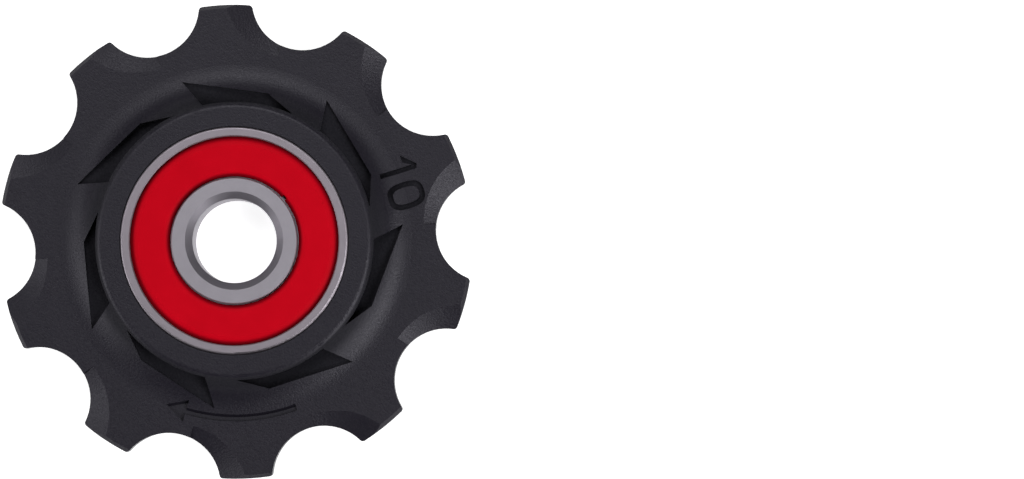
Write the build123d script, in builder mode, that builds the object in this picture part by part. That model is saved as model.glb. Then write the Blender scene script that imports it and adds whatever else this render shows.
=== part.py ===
from build123d import *
import math
import os

# Derailleur jockey wheel: a moulded ten-tooth wheel on a sealed cartridge ball bearing.
# The axle runs along Z, the marked front face looks up, and the origin is the centre of the bore.
# One tooth points along +Y. All lengths are in millimetres, all angles in degrees.

# Chain and teeth
chain_pitch = 12.7
roller_diameter = 7.75
tooth_count = 10
valley_radius = 4.3  # arc of the seat between two teeth
tip_drop = 0.8  # the tips stay this far inside the pitch circle
tip_corner_radius = 0.3
tip_bevel = 0.3
plate_thickness = 2.1  # passes between the inner plates of the chain
flank_bevel_angle = 18.0  # slope of the leading flank's bevel against the ring face
flank_bevel_root_width = 0.95  # width of the bevel beside the bottom of a valley
flank_bevel_lean = 1.8  # the bevel's circle is turned this far from the valley towards its tooth
flank_bevel_end = 2.0  # the bevel stops this far short of its own centre line
flank_bevel_sweep = 70.0  # turn of the bevel about its own centre, from its end past the tip

# Cartridge bearing
bore_diameter = 7.0
bearing_diameter = 19.0
bore_chamfer = 0.58
ring_corner_radius = 0.25
land_chamfer = 0.08  # on the ring edges beside the seals
ring_gap = 2.12  # radial space between the lands of the two rings
ball_diameter = 3.5
ball_count = 7
ball_running_clearance = 0.01
race_conformity = 0.52  # groove radius as a share of the ball diameter

# Seals
seal_recess = 0.2  # the seal face lies this far below the ring faces
seal_thickness = 0.55
seal_edge_drop = 0.3  # both edges of the seal curve down this far below its face
seal_shoulder_width = 0.68  # width of the curve at the outer edge
seal_lip_width = 0.6  # width of the curve at the lip
seal_lip_clearance = 0.1
seal_lip_step = 0.2  # the lip runs over a step of this height in the inner ring
seal_seat_clearance = 0.04
seal_cage_clearance = 0.15
seal_groove_depth = 0.15
seal_groove_height = 0.12
seal_groove_wall = 0.68  # wall of the outer ring left behind the snap groove
lip_notch_width = 0.35
lip_notch_depth = 0.25
lip_notch_angle = 38.4

# Ball cage
cage_thickness = 0.28
cage_width = 1.5
cage_pocket_clearance = 0.07
rivet_diameter = 0.7
rivet_head_diameter = 1.15
rivet_head_height = 0.2
rivet_hole_clearance = 0.01

# Hub and web of the moulded wheel
press_clearance = 0.005
hub_wall = 2.05
hub_rim_radius = 0.5
web_width = 3.15  # from the hub wall out to the flat ring face

# Swirl pockets
pocket_count = 7
pocket_depth = 0.3  # the pocket floors lie this far below the ring face
pocket_kink_step = 1.03  # the kink lies this far outside the hub wall
pocket_tip_step = 2.45  # the tip lies this far outside the hub wall
pocket_kink_turn = 16.5  # turns are counted from the start of the pocket
pocket_tip_turn = 47.7
pocket_end_turn = 42.1
pocket_root_overlap = 0.2  # the outline starts and ends this far inside the hub wall
first_tip_angle = 3.2

# Derived sizes
half_pitch = 180 / tooth_count
pitch_radius = chain_pitch / (2 * math.sin(math.radians(half_pitch)))
tip_radius = pitch_radius - tip_drop
root_radius = pitch_radius - roller_diameter / 2
valley_centre_radius = root_radius + valley_radius
first_tooth_angle = 90.0
first_valley_angle = first_tooth_angle - half_pitch
half_plate = plate_thickness / 2
bore_radius = bore_diameter / 2
bearing_radius = bearing_diameter / 2
ball_radius = ball_diameter / 2
ball_circle_radius = (bore_radius + bearing_radius) / 2
inner_land_radius = ball_circle_radius - ring_gap / 2
inner_ring_radius = inner_land_radius - seal_lip_step
outer_land_radius = ball_circle_radius + ring_gap / 2
groove_radius = race_conformity * ball_diameter
inner_groove_centre = ball_circle_radius - ball_radius - ball_running_clearance + groove_radius
outer_groove_centre = ball_circle_radius + ball_radius + ball_running_clearance - groove_radius
cage_pocket_radius = ball_radius + cage_pocket_clearance
cage_crown_radius = cage_pocket_radius + cage_thickness
half_width = cage_crown_radius + seal_cage_clearance + seal_thickness + seal_recess
seal_face = half_width - seal_recess
seal_edge = seal_face - seal_edge_drop
seal_back = seal_face - seal_thickness
seal_groove_radius = bearing_radius - seal_groove_wall
seal_seat_radius = seal_groove_radius - seal_groove_depth
seal_seat_floor = seal_back - seal_seat_clearance
seal_lip_radius = inner_ring_radius + seal_lip_clearance
lip_step_top = seal_back - seal_lip_clearance
hub_radius = bearing_radius + hub_wall
shoulder_radius = hub_radius + web_width
pocket_floor = half_plate - pocket_depth

# The hub face runs into the ring face by two arcs that meet without a corner on the line between their
# ends: a convex one round the hub rim and a wide concave one over the web.
rim_start = hub_radius - hub_rim_radius
curve_width = shoulder_radius - rim_start
curve_height = half_width - half_plate
curve_radii = (curve_width**2 + curve_height**2) / (2 * curve_height)
rim_share = hub_rim_radius / curve_radii

# The leading flank of each tooth is bevelled by a sector of a cone. At the ring face the cone's circle
# starts at the middle of the tooth tip and passes inside the bottom of the valley.
bevel_start = 180 - flank_bevel_end - flank_bevel_sweep
bevel_root_radius = root_radius - flank_bevel_root_width
bevel_reach = tip_radius * math.cos(math.radians(half_pitch - flank_bevel_lean)) - bevel_root_radius
bevel_centre_radius = (tip_radius**2 - bevel_root_radius**2) / (2 * bevel_reach)
bevel_cone_radius = bevel_centre_radius - bevel_root_radius
bevel_cone_height = bevel_cone_radius * math.tan(math.radians(flank_bevel_angle))


def polar(radius, angle):
    return (radius * math.cos(math.radians(angle)), radius * math.sin(math.radians(angle)))


def save(piece, name):
    piece.part.label = name
    export_step(piece.part, f"parts/{name}.step")


os.makedirs("parts", exist_ok=True)
upwards = (Align.CENTER, Align.CENTER, Align.MIN)  # grown from the base of a primitive

# Moulded wheel: the front half is shaped first and then mirrored to the back
with BuildPart() as pulley_wheel:
    with BuildSketch(Plane.XZ):
        with BuildLine():
            seat_radius = bearing_radius + press_clearance
            rim_end = (rim_start + rim_share * curve_width, half_width - rim_share * curve_height)
            Polyline((seat_radius, 0), (seat_radius, half_width), (rim_start, half_width))
            rim = TangentArc((rim_start, half_width), rim_end, tangent=(1, 0))
            TangentArc(rim_end, (shoulder_radius, half_plate), tangent=rim % 1)
            Polyline(
                (shoulder_radius, half_plate),
                (tip_radius - tip_bevel, half_plate),
                (tip_radius, half_plate - tip_bevel),
                (tip_radius, 0),
                (seat_radius, 0),
            )
        make_face()
    revolve(axis=Axis.Z)

    with BuildSketch() as tooth_outline:
        Circle(tip_radius)
        with PolarLocations(valley_centre_radius, tooth_count, start_angle=first_valley_angle):
            Circle(valley_radius, mode=Mode.SUBTRACT)
        fillet(tooth_outline.vertices(), tip_corner_radius)
    extrude(amount=half_width, mode=Mode.INTERSECT)

    with Locations(Plane.XY.offset(half_plate - bevel_cone_height)):
        bevel_angle = first_valley_angle + flank_bevel_lean
        with PolarLocations(bevel_centre_radius, tooth_count, start_angle=bevel_angle):
            Cone(
                0,
                bevel_cone_radius,
                bevel_cone_height,
                arc_size=flank_bevel_sweep,
                rotation=(0, 0, bevel_start),
                align=None,
                mode=Mode.SUBTRACT,
            )

    with BuildSketch(Plane.XY.offset(pocket_floor)):
        with PolarLocations(0, pocket_count, start_angle=first_tip_angle - pocket_tip_turn):
            Polygon(
                polar(hub_radius - pocket_root_overlap, 0),
                polar(hub_radius + pocket_kink_step, pocket_kink_turn),
                polar(hub_radius + pocket_tip_step, pocket_tip_turn),
                polar(hub_radius - pocket_root_overlap, pocket_end_turn),
                align=None,
            )
        Circle(hub_radius, mode=Mode.SUBTRACT)
    extrude(amount=half_width - pocket_floor, mode=Mode.SUBTRACT)
    mirror(about=Plane.XY)
save(pulley_wheel, "pulley_wheel")

# Outer bearing ring with its ball groove and a snap groove for each seal
with BuildPart() as bearing_outer_ring:
    with BuildSketch(Plane.XZ):
        with BuildLine():
            Polyline(
                (outer_land_radius, 0),
                (outer_land_radius, seal_seat_floor),
                (seal_groove_radius, seal_seat_floor),
                (seal_groove_radius, seal_seat_floor + seal_groove_height),
                (seal_seat_radius, seal_seat_floor + seal_groove_height + seal_groove_depth),
                (seal_seat_radius, half_width - land_chamfer),
                (seal_seat_radius + land_chamfer, half_width),
                (bearing_radius - ring_corner_radius, half_width),
            )
            RadiusArc(
                (bearing_radius - ring_corner_radius, half_width),
                (bearing_radius, half_width - ring_corner_radius),
                ring_corner_radius,
            )
            Polyline(
                (bearing_radius, half_width - ring_corner_radius),
                (bearing_radius, 0),
                (outer_land_radius, 0),
            )
        make_face()
    revolve(axis=Axis.Z)
    mirror(about=Plane.XY)
    Torus(outer_groove_centre, groove_radius, mode=Mode.SUBTRACT)
save(bearing_outer_ring, "bearing_outer_ring")

# Inner bearing ring with the axle bore, its ball groove and a step under each seal lip
with BuildPart() as bearing_inner_ring:
    with BuildSketch(Plane.XZ):
        with BuildLine():
            Polyline(
                (bore_radius, 0),
                (bore_radius, half_width - bore_chamfer),
                (bore_radius + bore_chamfer, half_width),
                (inner_ring_radius - land_chamfer, half_width),
                (inner_ring_radius, half_width - land_chamfer),
                (inner_ring_radius, lip_step_top),
                (inner_land_radius, lip_step_top),
                (inner_land_radius, 0),
                close=True,
            )
        make_face()
    revolve(axis=Axis.Z)
    mirror(about=Plane.XY)
    Torus(inner_groove_centre, groove_radius, mode=Mode.SUBTRACT)
save(bearing_inner_ring, "bearing_inner_ring")

# Seals: a level face that curves down to a snap bead at the outer edge and to the lip at the inner one
with BuildPart() as plain_seal:
    with BuildSketch(Plane.XZ):
        with BuildLine():
            rim_radius = seal_seat_radius - seal_seat_clearance
            bead_radius = seal_groove_radius - seal_seat_clearance
            bead_top = seal_back + seal_groove_height - seal_seat_clearance
            lip_start = (seal_lip_radius + seal_lip_width, seal_face)
            shoulder_start = (rim_radius - seal_shoulder_width, seal_face)
            TangentArc(lip_start, (seal_lip_radius, seal_edge), tangent=(-1, 0))
            Line(lip_start, shoulder_start)
            TangentArc(shoulder_start, (rim_radius, seal_edge), tangent=(1, 0))
            Polyline(
                (rim_radius, seal_edge),
                (rim_radius, bead_top + bead_radius - rim_radius),
                (bead_radius, bead_top),
                (bead_radius, seal_back),
                (seal_lip_radius, seal_back),
                (seal_lip_radius, seal_edge),
            )
        make_face()
    revolve(axis=Axis.Z)

# The front seal has a small notch in its lip
with BuildPart() as front_seal:
    add(plain_seal.part)
    with BuildSketch(Plane.XY.offset(seal_back)):
        with PolarLocations(seal_lip_radius, 1, start_angle=lip_notch_angle):
            Rectangle(2 * lip_notch_depth, lip_notch_width)
    extrude(amount=seal_thickness, mode=Mode.SUBTRACT)
save(front_seal, "front_seal")

with BuildPart() as rear_seal:
    mirror(plain_seal.part, about=Plane.XY)
save(rear_seal, "rear_seal")

# Balls, one node each, the first on +Y
ball_pitch_angle = 360 / ball_count
for index in range(ball_count):
    with BuildPart() as ball:
        with PolarLocations(ball_circle_radius, 1, start_angle=first_tooth_angle + index * ball_pitch_angle):
            Sphere(ball_radius)
    save(ball, f"ball_{index + 1}")

# Pressed cage: a flat ribbon with a cup over each ball, riveted between the cups
rivet_angle = first_tooth_angle + ball_pitch_angle / 2
with BuildPart() as cage_front_half:
    with BuildSketch() as ribbon:
        Circle(ball_circle_radius + cage_width / 2)
        Circle(ball_circle_radius - cage_width / 2, mode=Mode.SUBTRACT)
    extrude(amount=cage_thickness)
    with PolarLocations(ball_circle_radius, ball_count, start_angle=first_tooth_angle):
        Sphere(cage_crown_radius)
    extrude(ribbon.sketch, amount=cage_crown_radius, mode=Mode.INTERSECT)
    with PolarLocations(ball_circle_radius, ball_count, start_angle=first_tooth_angle):
        Sphere(cage_pocket_radius, mode=Mode.SUBTRACT)
    with PolarLocations(ball_circle_radius, ball_count, start_angle=rivet_angle):
        Hole(rivet_diameter / 2 + rivet_hole_clearance)
save(cage_front_half, "cage_front_half")

with BuildPart() as cage_rear_half:
    mirror(cage_front_half.part, about=Plane.XY)
save(cage_rear_half, "cage_rear_half")

# Rivets: half of each is made above the joint of the cage and mirrored below it
with BuildPart() as cage_rivets:
    with PolarLocations(ball_circle_radius, ball_count, start_angle=rivet_angle):
        Cylinder(rivet_diameter / 2, cage_thickness, align=upwards)
    with Locations((0, 0, cage_thickness)):
        with PolarLocations(ball_circle_radius, ball_count, start_angle=rivet_angle):
            Cone(rivet_head_diameter / 2, rivet_diameter / 2, rivet_head_height, align=upwards)
    mirror(about=Plane.XY)
save(cage_rivets, "cage_rivets")
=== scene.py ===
import math

import bmesh
import bpy
from mathutils import Matrix, Vector
from mathutils.bvhtree import BVHTree
from mathutils.geometry import barycentric_transform


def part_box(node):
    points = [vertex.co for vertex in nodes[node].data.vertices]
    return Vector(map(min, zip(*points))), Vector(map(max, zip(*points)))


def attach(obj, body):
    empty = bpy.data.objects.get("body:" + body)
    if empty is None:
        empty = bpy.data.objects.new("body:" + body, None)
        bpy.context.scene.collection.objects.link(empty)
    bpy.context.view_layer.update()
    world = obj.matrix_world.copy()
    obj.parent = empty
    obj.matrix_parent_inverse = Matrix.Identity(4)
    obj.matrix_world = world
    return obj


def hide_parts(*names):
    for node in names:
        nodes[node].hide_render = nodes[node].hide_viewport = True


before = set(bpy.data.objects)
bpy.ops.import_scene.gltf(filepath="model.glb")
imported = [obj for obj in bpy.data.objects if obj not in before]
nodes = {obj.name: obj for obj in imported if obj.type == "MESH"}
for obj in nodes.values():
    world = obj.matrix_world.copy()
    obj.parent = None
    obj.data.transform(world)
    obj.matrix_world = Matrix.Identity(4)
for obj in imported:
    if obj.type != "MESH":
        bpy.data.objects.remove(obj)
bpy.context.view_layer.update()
scene = bpy.context.scene
scene.view_settings.view_transform = "Standard"

# Lengths are in metres, angles in degrees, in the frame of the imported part, unless a comment says otherwise
MM = 0.001

# The photograph: the axle points at the viewer, and the part is turned a little about it
PHOTO_TURN = 2.6
PHOTO_WIDTH = 1024  # pixels
PIXELS_PER_METRE = 12000
CAMERA_HEIGHT = 444.4 * MM
CAMERA_FOOT = (27.35 * MM, -13.73 * MM)  # right of and below the axle, as the photograph shows it
AIM_POINT = (22.99 * MM, 0.18 * MM)
SENSOR_WIDTH = 36.0  # millimetres

# Places on the front of the wheel, as a radius and an angle
RING_FACE_SPOT = (15.2 * MM, 90)
POCKET_SPOT = (12.2 * MM, 90)
STEEP_WEB_RADIUS = 14.2 * MM  # the steep part of the web lies inside this radius
HEIGHT_DECIMALS = 7  # of a metre, in the heights that are measured at these places

# Digits sunk into the ring face
DIGIT_SINK = 0.4 * MM
DIGITS_ANGLE = 14.9
DIGITS_RADIUS = 14.66 * MM
ONE_CORNERS = [  # across and up, in millimetres
    (-1.7, -1.58),
    (-1.28, -1.58),
    (-1.28, 1.52),
    (-1.66, 1.66),
    (-2.73, 0.5),
    (-2.1, 0.53),
    (-1.7, 1.2),
]
ZERO_MIDDLE = (0.62 * MM, 0.04 * MM)
ZERO_WIDTH = 2.25 * MM
ZERO_HEIGHT = 3.1 * MM
ZERO_STROKE = 0.45 * MM
ZERO_SQUARENESS = 2.8  # 2 is an ellipse, more is nearer to a rectangle
ZERO_STEPS = 48

# Arrow sunk into the ring face
ARROW_SINK = 0.34 * MM
ARROW_RADIUS = 14.68 * MM
ARROW_WIDTH = 0.57 * MM
ARROW_SLANT = 0.22 * MM  # width of its slanted wall on the side of the hub
ARROW_START = 287.6
ARROW_HEAD_BASE = 251.2
ARROW_HEAD_LENGTH = 1.71 * MM
ARROW_HEAD_WIDTH = 1.88 * MM
ARROW_STEPS = 48

# A face of the marked wheel lies on the plain wheel within this distance and this cosine
SAME_PLACE = 1e-6
SAME_WAY = 0.995
WELD_DISTANCE = 1e-7

# Where the plastic gets painted shade and more roughness. The painted shade is a darker colour that stands in
# for the shadow in its recesses and on the steep web by the hub. Flatness is 1 on a level surface and 0 on an
# upright one.
FLOOR_FLATNESS = 0.98
FLOOR_REACH = 0.02 * MM  # a face this near to a floor's height is on that floor
FLOOR_SHADE_AND_DULLNESS = 1.0
ARROW_SHADE_AND_DULLNESS = 0.4
WEB_SHADE_AND_DULLNESS = 0.75
WEB_SHADE_AND_DULL_START = 0.88  # flatness where the painted shade and the extra roughness begin on the web
WEB_SHADE_AND_DULL_FULL = 0.7

# Most of a noise lies between these values
NOISE_LOW = 0.3
NOISE_HIGH = 0.7

# Stage, of which the glows are for the eye and for reflections alone and put no light on the part
FLOOR_GLOW = 0.8
FLOOR_COLOUR = (0.8, 0.8, 0.8, 1)
FLOOR_SIZE = 3.0
FLOOR_GAP = 0.02 * MM  # keeps the floor clear of the part's lowest faces
HORIZON_GLOW = 1.0
HORIZON_COLOUR = (1, 1, 1, 1)
HORIZON_TOP = 0.05  # sines of the elevations between which the glow fades
HORIZON_END = 0.16
LAMP_DISTANCE = 0.5
LAMP_SIZE = 0.28


def polar(radius, angle, height=0.0):
    turn = math.radians(angle)
    return Vector((radius * math.cos(turn), radius * math.sin(turn), height))


def link(name, data):
    piece = bpy.data.objects.new(name, data)
    scene.collection.objects.link(piece)
    return piece


# The plain wheel of the frame and the heights on its front
def triangle_tree(mesh):
    mesh.calc_loop_triangles()
    points = [vertex.co for vertex in mesh.vertices]
    return BVHTree.FromPolygons(points, [tuple(triangle.vertices) for triangle in mesh.loop_triangles])


def front_height(radius, angle):
    """The height of the plain wheel's front at a place, rounded so that a cut can end right on a face."""
    place = plain_tree.ray_cast(polar(radius, angle, above_wheel), Vector((0, 0, -1)))[0]
    return round(place.z, HEIGHT_DECIMALS)


wheel_low, wheel_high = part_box("pulley_wheel")
above_wheel = wheel_high.z + MM
plain_wheel = nodes["pulley_wheel"].data
plain_tree = triangle_tree(plain_wheel)
ring_face = front_height(*RING_FACE_SPOT)
pocket_floor = front_height(*POCKET_SPOT)
digit_floor = ring_face - DIGIT_SINK
arrow_floor = ring_face - ARROW_SINK


# Short calls for nodes
class Nodes:
    """The nodes of one tree."""

    def __init__(self, tree):
        self.tree = tree

    def join(self, source, socket):
        """Feeds a socket from the output of a node, or sets it to a plain value."""
        if isinstance(source, bpy.types.NodeSocket):
            self.tree.links.new(source, socket)
        else:
            socket.default_value = source

    def node(self, kind, inputs=None, **settings):
        made = self.tree.nodes.new(kind)
        for key, value in settings.items():
            setattr(made, key, value)
        for socket, source in (inputs or {}).items():
            self.join(source, made.inputs[socket])
        return made

    def math(self, operation, first, second=0.0):
        return self.node("ShaderNodeMath", {0: first, 1: second}, operation=operation).outputs[0]

    def ramp(self, value, start, end, low=0.0, high=1.0, kind="SMOOTHSTEP"):
        """Turns a value between start and end into one between low and high."""
        inputs = {"Value": value, "From Min": start, "From Max": end, "To Min": low, "To Max": high}
        return self.node("ShaderNodeMapRange", inputs, interpolation_type=kind).outputs["Result"]


class Look(Nodes):
    """A material with its principled shader."""

    def __init__(self, name, **constants):
        self.material = bpy.data.materials.new(name)
        self.material.use_nodes = True
        super().__init__(self.material.node_tree)
        self.principled = self.tree.nodes["Principled BSDF"]
        for socket, value in constants.items():
            self.feed(socket.replace("_", " "), value)

    def feed(self, socket, source):
        self.join(source, self.principled.inputs[socket])

    def place(self):
        return self.node("ShaderNodeTexCoord").outputs["Object"]

    def place_parts(self):
        return self.node("ShaderNodeSeparateXYZ", {"Vector": self.place()}).outputs

    def axle_distance(self, x, y):
        flat = self.node("ShaderNodeCombineXYZ", {"X": x, "Y": y, "Z": 0.0}).outputs["Vector"]
        return self.node("ShaderNodeVectorMath", {"Vector": flat}, operation="LENGTH").outputs["Value"]

    def turned(self, squeeze):
        """Coordinates that stretch a texture into rings round the axle."""
        x, y, z = self.place_parts()
        turn = self.math("ARCTAN2", y, x)
        inputs = {"X": self.axle_distance(x, y), "Y": self.math("MULTIPLY", turn, squeeze), "Z": z}
        return self.node("ShaderNodeCombineXYZ", inputs).outputs["Vector"]

    def flatness(self):
        """1 on a level surface, 0 on an upright one."""
        normal = self.node("ShaderNodeNewGeometry").outputs["Normal"]
        return self.math("ABSOLUTE", self.node("ShaderNodeSeparateXYZ", {"Vector": normal}).outputs["Z"])

    def noise(self, size, detail, vector=None):
        inputs = {"Vector": vector or self.place(), "Scale": 1 / size, "Detail": detail}
        return self.node("ShaderNodeTexNoise", inputs).outputs["Fac"]

    def spread(self, noise, low, high):
        return self.ramp(noise, NOISE_LOW, NOISE_HIGH, low, high, kind="LINEAR")

    def blend(self, factor, first, second):
        """A mix of two colours, of which either may be the output of a node."""
        made = self.node("ShaderNodeMix", {"Factor": factor}, data_type="RGBA")
        sockets = [socket for socket in made.inputs if socket.type == "RGBA"]
        for socket, colour in zip(sockets, (first, second)):
            self.join(colour if isinstance(colour, bpy.types.NodeSocket) else (*colour, 1), socket)
        return next(socket for socket in made.outputs if socket.type == "RGBA")

    def bump(self, height, distance, strength):
        inputs = {"Height": height, "Distance": distance, "Strength": strength}
        return self.node("ShaderNodeBump", inputs).outputs["Normal"]


# Materials, with colours as linear red, green and blue
def shade_and_dull_places(look):
    """Where painted shade and extra roughness go: 1 on the floors of pockets and digits, less on the arrow's
    floor and the steep web, 0 elsewhere.
    """
    x, y, z = look.place_parts()
    height = look.math("ABSOLUTE", z)
    flatness = look.flatness()
    on_web = look.math("LESS_THAN", look.axle_distance(x, y), STEEP_WEB_RADIUS)
    steepness = look.ramp(flatness, WEB_SHADE_AND_DULL_START, WEB_SHADE_AND_DULL_FULL, high=WEB_SHADE_AND_DULLNESS)
    shade_and_dullness = look.math("MULTIPLY", steepness, on_web)
    level = look.math("GREATER_THAN", flatness, FLOOR_FLATNESS)
    floors = (pocket_floor, FLOOR_SHADE_AND_DULLNESS), (digit_floor, FLOOR_SHADE_AND_DULLNESS), (arrow_floor, ARROW_SHADE_AND_DULLNESS)
    for floor, shade_and_dull_share in floors:
        off = look.math("ABSOLUTE", look.math("SUBTRACT", height, floor))
        on_floor = look.math("MULTIPLY", look.math("LESS_THAN", off, FLOOR_REACH), level)
        shade_and_dullness = look.math("MAXIMUM", shade_and_dullness, look.math("MULTIPLY", on_floor, shade_and_dull_share))
    return shade_and_dullness


def moulded_plastic():
    dark = (0.0076, 0.0065, 0.011)
    light = (0.0114, 0.01, 0.0154)
    # Painted shade: the colour of the recess floors and the steep web, where shadow falls
    painted_shade_colour = (0.0008, 0.0006, 0.0032)
    dull_extra_roughness = 0.32
    sheen_tint = (0.93, 0.915, 1, 1)
    look = Look("moulded_plastic", IOR=1.5, Specular_IOR_Level=0.343, Specular_Tint=sheen_tint)
    grain = look.noise(size=0.16 * MM, detail=3.0)
    clouds = look.noise(size=2.4 * MM, detail=3.0)
    shade_and_dullness = shade_and_dull_places(look)
    # Painted shade: the base colour darkens on the floors of the pockets, digits and arrow and on the steep
    # web, and those places are also made rougher
    look.feed("Base Color", look.blend(shade_and_dullness, look.blend(clouds, dark, light), painted_shade_colour))
    roughness = look.spread(grain, low=0.35, high=0.49)
    look.feed("Roughness", look.math("ADD", roughness, look.math("MULTIPLY", shade_and_dullness, dull_extra_roughness)))
    look.feed("Normal", look.bump(grain, distance=0.03 * MM, strength=0.8))
    return look.material


def ground_steel(name, dark, light):
    look = Look(name, Metallic=1.0)
    rings = look.noise(size=0.05 * MM, detail=2.0, vector=look.turned(squeeze=0.4 * MM))
    stains = look.noise(size=1.4 * MM, detail=3.0)
    look.feed("Base Color", look.blend(stains, dark, light))
    look.feed("Roughness", look.spread(rings, low=0.42, high=0.56))
    look.feed("Normal", look.bump(rings, distance=0.004 * MM, strength=0.5))
    return look.material


def seal_rubber():
    dark = (0.48, 0.0008, 0.008)
    light = (0.56, 0.0014, 0.0105)
    rim_shade_colour = (0.2, 0.0006, 0.005)
    look = Look("seal_rubber", IOR=1.45, Specular_IOR_Level=0.03)
    grain = look.noise(size=0.12 * MM, detail=2.0)
    clouds = look.noise(size=1.8 * MM, detail=2.0)
    # Painted shade: the rubber's colour darkens where its face tilts down at the rims
    rim_shade = look.ramp(look.flatness(), start=0.985, end=0.8)
    look.feed("Base Color", look.blend(rim_shade, look.blend(clouds, dark, light), rim_shade_colour))
    look.feed("Roughness", look.spread(grain, low=0.42, high=0.55))
    look.feed("Normal", look.bump(grain, distance=0.01 * MM, strength=0.4))
    return look.material


def ball_ceramic():
    dark = (0.74, 0.73, 0.7)
    light = (0.82, 0.81, 0.78)
    look = Look("ball_ceramic", IOR=1.8)
    clouds = look.noise(size=0.9 * MM, detail=3.0)
    look.feed("Base Color", look.blend(clouds, dark, light))
    look.feed("Roughness", look.spread(clouds, low=0.08, high=0.16))
    return look.material


def pressed_steel():
    dark = (0.46, 0.455, 0.44)
    light = (0.56, 0.555, 0.545)
    look = Look("pressed_steel", Metallic=1.0)
    streaks = look.noise(size=0.2 * MM, detail=3.0, vector=look.turned(squeeze=1.2 * MM))
    look.feed("Base Color", look.blend(streaks, dark, light))
    look.feed("Roughness", look.spread(streaks, low=0.25, high=0.4))
    look.feed("Normal", look.bump(streaks, distance=0.004 * MM, strength=0.4))
    return look.material


def dress(piece, material):
    piece.data.materials.clear()
    piece.data.materials.append(material)


# Outlines of the marks
def digit_point(across, up):
    """A point in the plane of the digits, whose tops point away from the axle."""
    upward = polar(1, DIGITS_ANGLE)
    rightward = polar(1, DIGITS_ANGLE - 90)
    return upward * (DIGITS_RADIUS + up) + rightward * across


def one_outline():
    return [digit_point(across * MM, up * MM) for across, up in ONE_CORNERS]


def zero_outline(inset):
    half_width = ZERO_WIDTH / 2 - inset
    half_height = ZERO_HEIGHT / 2 - inset
    points = []
    for i in range(ZERO_STEPS):
        turn = 2 * math.pi * i / ZERO_STEPS
        ends = math.cos(turn), math.sin(turn)
        across, up = (math.copysign(abs(end) ** (2 / ZERO_SQUARENESS), end) for end in ends)
        points.append(digit_point(ZERO_MIDDLE[0] + half_width * across, ZERO_MIDDLE[1] + half_height * up))
    return points


def arrow_outline(slant):
    """The arrow's outline, with its edge beside the hub set back by the slant."""
    half = ARROW_WIDTH / 2
    sweep = ARROW_HEAD_BASE - ARROW_START
    turns = [ARROW_START + sweep * i / ARROW_STEPS for i in range(ARROW_STEPS + 1)]
    outer = [polar(ARROW_RADIUS + half, turn) for turn in turns]
    inner = [polar(ARROW_RADIUS - half + slant, turn) for turn in reversed(turns)]
    tip = polar(ARROW_RADIUS, ARROW_HEAD_BASE - math.degrees(ARROW_HEAD_LENGTH / ARROW_RADIUS))
    far = polar(ARROW_RADIUS + ARROW_HEAD_WIDTH / 2, ARROW_HEAD_BASE)
    near = polar(ARROW_RADIUS - ARROW_HEAD_WIDTH / 2, ARROW_HEAD_BASE)
    reach = (tip - far).cross(near - far).length / (tip - near).length
    head = [far, tip.lerp(far, slant / reach), near.lerp(far, slant / reach)]
    return outer + head + inner


# The marked wheel is a copy of the plain one, with the marks cut out as closed bodies
def cutter(name, layers, hole=()):
    """A closed body over layers, each an outline and its height. A hole has as many points as a layer."""
    shape = bmesh.new()
    walls = [[shape.verts.new((p.x, p.y, height)) for p in outline] for outline, height in layers]
    low, high = walls[0], walls[-1]
    steps = [(i, (i + 1) % len(low)) for i in range(len(low))]
    for lower, upper in zip(walls, walls[1:]):
        for i, j in steps:
            shape.faces.new((lower[i], lower[j], upper[j], upper[i]))
    if hole:
        ends = layers[0][1], layers[-1][1]
        hole_low, hole_high = ([shape.verts.new((p.x, p.y, height)) for p in hole] for height in ends)
        for i, j in steps:
            shape.faces.new((hole_low[j], hole_low[i], hole_high[i], hole_high[j]))
            shape.faces.new((high[i], high[j], hole_high[j], hole_high[i]))
            shape.faces.new((low[j], low[i], hole_low[i], hole_low[j]))
    else:
        shape.faces.new(high)
        shape.faces.new(list(reversed(low)))
    bmesh.ops.recalc_face_normals(shape, faces=shape.faces[:])
    mesh = bpy.data.meshes.new(name)
    shape.to_mesh(mesh)
    shape.free()
    return link(name, mesh)


def mark_cutters():
    one, zero, arrow = one_outline(), zero_outline(0), arrow_outline(0)
    arrow_layers = [(arrow_outline(ARROW_SLANT), arrow_floor), (arrow, ring_face), (arrow, above_wheel)]
    return [
        cutter("cut_one", [(one, digit_floor), (one, above_wheel)]),
        cutter("cut_zero", [(zero, digit_floor), (zero, above_wheel)], zero_outline(ZERO_STROKE)),
        cutter("cut_arrow", arrow_layers),
    ]


def marked_wheel():
    mesh = plain_wheel.copy()
    piece = link("pulley_wheel_marked", mesh)
    shape = bmesh.new()
    shape.from_mesh(mesh)
    bmesh.ops.remove_doubles(shape, verts=shape.verts[:], dist=WELD_DISTANCE)
    shape.to_mesh(mesh)
    shape.free()
    cutters = mark_cutters()
    for body in cutters:
        cut = piece.modifiers.new(body.name, "BOOLEAN")
        cut.operation = "DIFFERENCE"
        cut.solver = "EXACT"
        cut.object = body
    bpy.context.view_layer.update()
    depsgraph = bpy.context.evaluated_depsgraph_get()
    result = bpy.data.meshes.new_from_object(piece.evaluated_get(depsgraph))
    piece.modifiers.clear()
    piece.data = result
    for body in cutters:
        bpy.data.objects.remove(body)
    return piece


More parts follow.
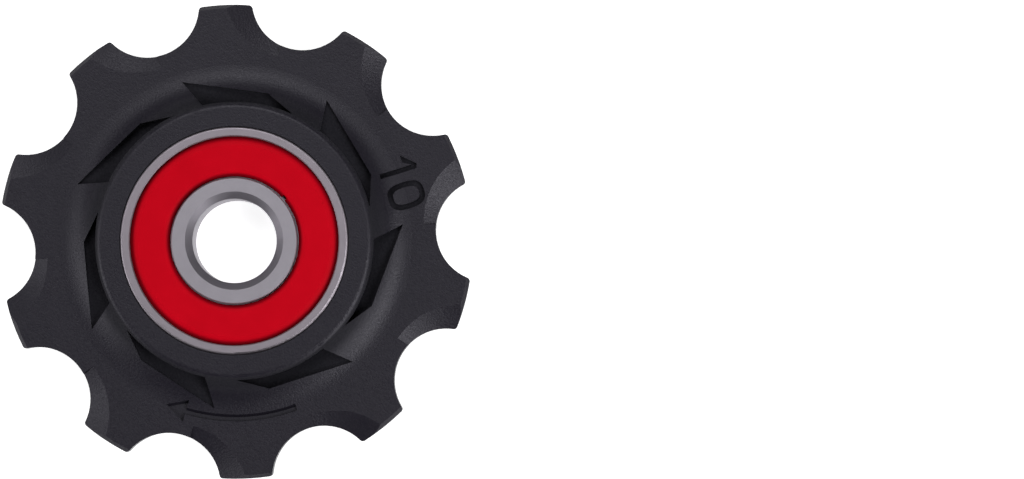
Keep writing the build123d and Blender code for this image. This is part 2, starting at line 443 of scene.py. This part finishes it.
def carry_normals(piece):
    """Gives each face of the piece that lies on the plain wheel that wheel's own smooth normals."""
    points = [vertex.co for vertex in plain_wheel.vertices]
    triangles = plain_wheel.loop_triangles
    corner_normals = [Vector(normal.vector) for normal in plain_wheel.corner_normals]
    mesh = piece.data
    normals = [Vector()] * len(mesh.loops)
    for face in mesh.polygons:
        normal, index, distance = plain_tree.find_nearest(face.center)[1:]
        on_plain = distance < SAME_PLACE and normal.dot(face.normal) > SAME_WAY
        for loop in face.loop_indices:
            normals[loop] = face.normal
            if on_plain:
                triangle = triangles[index]
                corners = [points[i] for i in triangle.vertices]
                ends = [corner_normals[i] for i in triangle.loops]
                point = mesh.vertices[mesh.loops[loop].vertex_index].co
                normals[loop] = barycentric_transform(point, *corners, *ends).normalized()
    mesh.polygons.foreach_set("use_smooth", [True] * len(mesh.polygons))
    mesh.normals_split_custom_set(normals)


# Put the looks on the pieces
inner_steel = ground_steel("inner_steel", dark=(0.3, 0.284, 0.317), light=(0.36, 0.34, 0.378))
# The outer ring's magenta tint is a painted reflection of the red seal beside it
outer_steel = ground_steel("outer_steel", dark=(0.264, 0.238, 0.268), light=(0.316, 0.286, 0.32))
rubber = seal_rubber()
ceramic = ball_ceramic()
sheet = pressed_steel()
plastic = moulded_plastic()
for node, piece in nodes.items():
    if node.startswith("ball_"):
        dress(piece, ceramic)
    elif node.startswith("cage_"):
        dress(piece, sheet)
    elif node.endswith("_seal"):
        dress(piece, rubber)
dress(nodes["bearing_inner_ring"], inner_steel)
dress(nodes["bearing_outer_ring"], outer_steel)
dress(nodes["pulley_wheel"], plastic)

wheel = marked_wheel()
carry_normals(wheel)
dress(wheel, plastic)
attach(wheel, "wheel")
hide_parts("pulley_wheel")


# Stage: a white floor that keeps the shadow, and a white surround round the horizon
def seen_rays(made):
    """1 for the camera, for reflections and for clear pieces, 0 for all other rays."""
    rays = made.node("ShaderNodeLightPath").outputs
    seen = rays["Is Camera Ray"]
    for kind in ("Is Glossy Ray", "Is Transmission Ray"):
        seen = made.math("MAXIMUM", seen, rays[kind])
    return seen


def floor_material():
    material = bpy.data.materials.new("floor_white")
    material.use_nodes = True
    material.node_tree.nodes.clear()
    made = Nodes(material.node_tree)
    diffuse = made.node("ShaderNodeBsdfDiffuse", {"Color": FLOOR_COLOUR})
    glow = made.node("ShaderNodeEmission", {"Strength": made.math("MULTIPLY", seen_rays(made), FLOOR_GLOW)})
    both = made.node("ShaderNodeAddShader", {0: diffuse.outputs[0], 1: glow.outputs[0]})
    made.node("ShaderNodeOutputMaterial", {"Surface": both.outputs[0]})
    return material


def white_floor():
    mesh = bpy.data.meshes.new("floor")
    half = FLOOR_SIZE / 2
    height = wheel_low.z - FLOOR_GAP
    corners = [(-half, -half, height), (half, -half, height), (half, half, height), (-half, half, height)]
    mesh.from_pydata(corners, [], [(0, 1, 2, 3)])
    mesh.materials.append(floor_material())
    return link("floor", mesh)


def surround():
    world = bpy.data.worlds.new("surround")
    world.use_nodes = True
    made = Nodes(world.node_tree)
    background = world.node_tree.nodes["Background"]
    direction = made.node("ShaderNodeTexCoord").outputs["Generated"]
    rise = made.node("ShaderNodeSeparateXYZ", {"Vector": direction}).outputs["Z"]
    glow = made.ramp(rise, HORIZON_TOP, HORIZON_END, low=HORIZON_GLOW, high=0.0)
    made.join(HORIZON_COLOUR, background.inputs["Color"])
    made.join(made.math("MULTIPLY", seen_rays(made), glow), background.inputs["Strength"])
    return world


def softbox(name, angle, elevation, power):
    """A round area lamp that faces the wheel, at an angle that is read in the photograph."""
    lamp = bpy.data.lights.new(name, "AREA")
    lamp.shape = "DISK"
    lamp.size = LAMP_SIZE
    lamp.energy = power
    rise = math.radians(elevation)
    away = polar(LAMP_DISTANCE * math.cos(rise), angle - PHOTO_TURN, LAMP_DISTANCE * math.sin(rise))
    box = link(name, lamp)
    box.location = away
    box.rotation_euler = (-away).to_track_quat("-Z", "Y").to_euler()


white_floor()
scene.world = surround()
softbox("right_high", angle=334, elevation=54, power=1.27)
softbox("right_low", angle=315, elevation=24, power=0.55)
softbox("left_high", angle=183, elevation=46, power=0.57)
softbox("left_low", angle=198, elevation=24, power=0.55)
softbox("top_side", angle=95, elevation=61, power=0.86)


# Camera
def from_photo(point, height):
    """Turns a place that is read in the photograph into one of the part's frame."""
    return Matrix.Rotation(math.radians(-PHOTO_TURN), 3, "Z") @ Vector((*point, height))


camera_data = bpy.data.cameras.new("camera")
camera = link("camera", camera_data)
camera.location = from_photo(CAMERA_FOOT, CAMERA_HEIGHT)
aim = from_photo(AIM_POINT, 0)
backward = (camera.location - aim).normalized()
rightward = from_photo((0, 1), 0).cross(backward).normalized()
upward = backward.cross(rightward)
camera.rotation_euler = Matrix((rightward, upward, backward)).transposed().to_euler()
camera_data.sensor_width = SENSOR_WIDTH
camera_data.lens = SENSOR_WIDTH * PIXELS_PER_METRE * (camera.location - aim).length / PHOTO_WIDTH
scene.camera = camera
